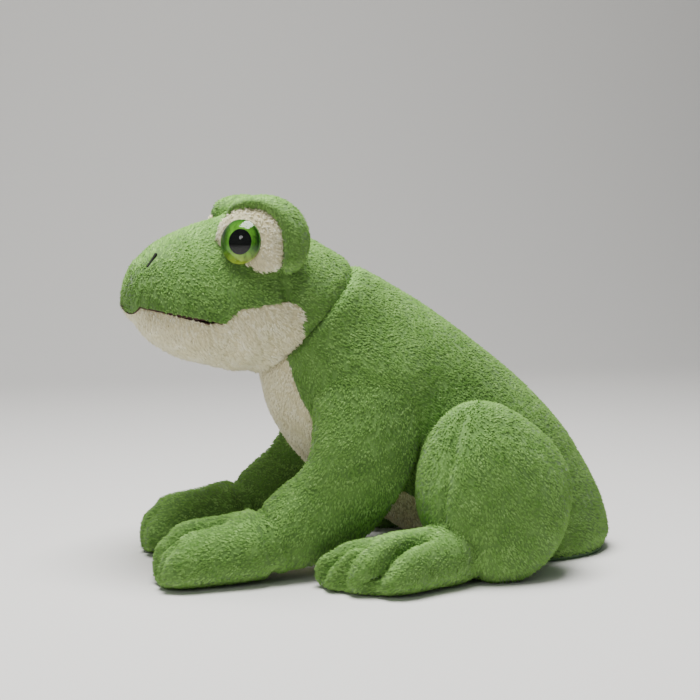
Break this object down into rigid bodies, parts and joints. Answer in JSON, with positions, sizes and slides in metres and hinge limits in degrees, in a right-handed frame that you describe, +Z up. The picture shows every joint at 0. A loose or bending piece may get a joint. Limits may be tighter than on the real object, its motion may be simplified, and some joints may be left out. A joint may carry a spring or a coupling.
{
  "type": "hand puppet",
  "caption": "Full-body plush frog hand puppet sitting on hands, feet and rump, with a palm-size opening under the rump and a mouth worked from inside.",
  "frame": {"origin": "on the floor under the middle of the bounding box", "axes": "the frog faces -X, its left side is -Y, +Z is up"},
  "size_m": [0.3, 0.215, 0.2214],
  "materials": {
    "green_plush": "matte",
    "beige_plush": "matte",
    "cream_plush": "matte",
    "fibre_filling": "matte",
    "satin_lining": "satin",
    "label_tape": "satin",
    "fibre_board": "matte",
    "mouth_felt": "matte",
    "clear_dome": "polished",
    "iris_print": "gloss",
    "black_plastic": "gloss",
    "white_plastic": "matte",
    "black_thread": "matte"
  },
  "bodies": {
    "trunk": {"side_panel_left": "green_plush", "side_panel_right": "green_plush", "belly_panel": "beige_plush", "padding_back": "fibre_filling", "padding_belly": "fibre_filling", "padding_left": "fibre_filling", "padding_right": "fibre_filling", "hand_sleeve": "satin_lining", "opening_binding": "satin_lining", "care_label": "label_tape"},
    "neck": {"neck_collar": "green_plush", "neck_lining": "satin_lining"},
    "head": {"neck_panel": "green_plush", "muzzle_skin": "green_plush", "cheek_panel": "cream_plush", "head_padding": "fibre_filling", "head_lining": "satin_lining", "palate_upper": "fibre_board", "palate_felt_upper": "mouth_felt", "eye_hood_left": "green_plush", "eye_hood_right": "green_plush", "eye_patch_left": "cream_plush", "eye_patch_right": "cream_plush", "eye_dome_left": "clear_dome", "eye_dome_right": "clear_dome", "eye_iris_left": "iris_print", "eye_iris_right": "iris_print", "eye_pupil_left": "black_plastic", "eye_pupil_right": "black_plastic", "eye_stem_left": "black_plastic", "eye_stem_right": "black_plastic", "eye_washer_left": "white_plastic", "eye_washer_right": "white_plastic", "nostril_left": "black_thread", "nostril_right": "black_thread"},
    "jaw": {"jaw_skin": "cream_plush", "jaw_padding": "fibre_filling", "thumb_lining": "satin_lining", "palate_lower": "fibre_board", "palate_felt_lower": "mouth_felt"},
    "arm_left": {"arm_skin_left": "green_plush", "arm_filling_left": "fibre_filling"},
    "hand_left": {"hand_skin_left": "green_plush", "hand_filling_left": "fibre_filling"},
    "thigh_left": {"thigh_skin_left": "green_plush", "thigh_filling_left": "fibre_filling"},
    "foot_left": {"foot_skin_left": "green_plush", "foot_filling_left": "fibre_filling"},
    "arm_right": {"arm_skin_right": "green_plush", "arm_filling_right": "fibre_filling"},
    "hand_right": {"hand_skin_right": "green_plush", "hand_filling_right": "fibre_filling"},
    "thigh_right": {"thigh_skin_right": "green_plush", "thigh_filling_right": "fibre_filling"},
    "foot_right": {"foot_skin_right": "green_plush", "foot_filling_right": "fibre_filling"}
  },
  "joints": [
    {"name": "head_turn", "type": "hinge", "parent": "trunk", "child": "neck", "pos_m": [-0.0435, 0, 0.148], "axis": [-0.7547, 0, 0.6561], "range_deg": [-30, 30], "stiffness_Nm_per_rad": 0.6},
    {"name": "head_nod", "type": "hinge", "parent": "neck", "child": "head", "pos_m": [-0.0435, 0, 0.148], "axis": [0, 1, 0], "range_deg": [-20, 20], "stiffness_Nm_per_rad": 2},
    {"name": "jaw_open", "type": "hinge", "parent": "head", "child": "jaw", "pos_m": [-0.105, 0, 0.149], "axis": [0, -1, 0], "range_deg": [0, 23], "stiffness_Nm_per_rad": 0.3},
    {"name": "shoulder_left", "type": "hinge", "parent": "trunk", "child": "arm_left", "pos_m": [-0.014, -0.052, 0.084], "axis": [0, 1, 0], "range_deg": [-6, 35], "stiffness_Nm_per_rad": 0.8},
    {"name": "wrist_left", "type": "hinge", "parent": "arm_left", "child": "hand_left", "pos_m": [-0.076, -0.045, 0.022], "axis": [0, 1, 0], "range_deg": [-20, 20], "stiffness_Nm_per_rad": 0.2},
    {"name": "hip_left", "type": "hinge", "parent": "trunk", "child": "thigh_left", "pos_m": [0.06, -0.046, 0.056], "axis": [0, 1, 0], "range_deg": [-12, 25], "stiffness_Nm_per_rad": 0.8},
    {"name": "ankle_left", "type": "hinge", "parent": "thigh_left", "child": "foot_left", "pos_m": [0.03, -0.076, 0.018], "axis": [0, 1, 0], "range_deg": [-18, 18], "stiffness_Nm_per_rad": 0.2},
    {"name": "shoulder_right", "type": "hinge", "parent": "trunk", "child": "arm_right", "pos_m": [-0.014, 0.052, 0.084], "axis": [0, 1, 0], "range_deg": [-6, 35], "stiffness_Nm_per_rad": 0.8},
    {"name": "wrist_right", "type": "hinge", "parent": "arm_right", "child": "hand_right", "pos_m": [-0.076, 0.045, 0.022], "axis": [0, 1, 0], "range_deg": [-20, 20], "stiffness_Nm_per_rad": 0.2},
    {"name": "hip_right", "type": "hinge", "parent": "trunk", "child": "thigh_right", "pos_m": [0.06, 0.046, 0.056], "axis": [0, 1, 0], "range_deg": [-12, 25], "stiffness_Nm_per_rad": 0.8},
    {"name": "ankle_right", "type": "hinge", "parent": "thigh_right", "child": "foot_right", "pos_m": [0.03, 0.076, 0.018], "axis": [0, 1, 0], "range_deg": [-18, 18], "stiffness_Nm_per_rad": 0.2}
  ]
}
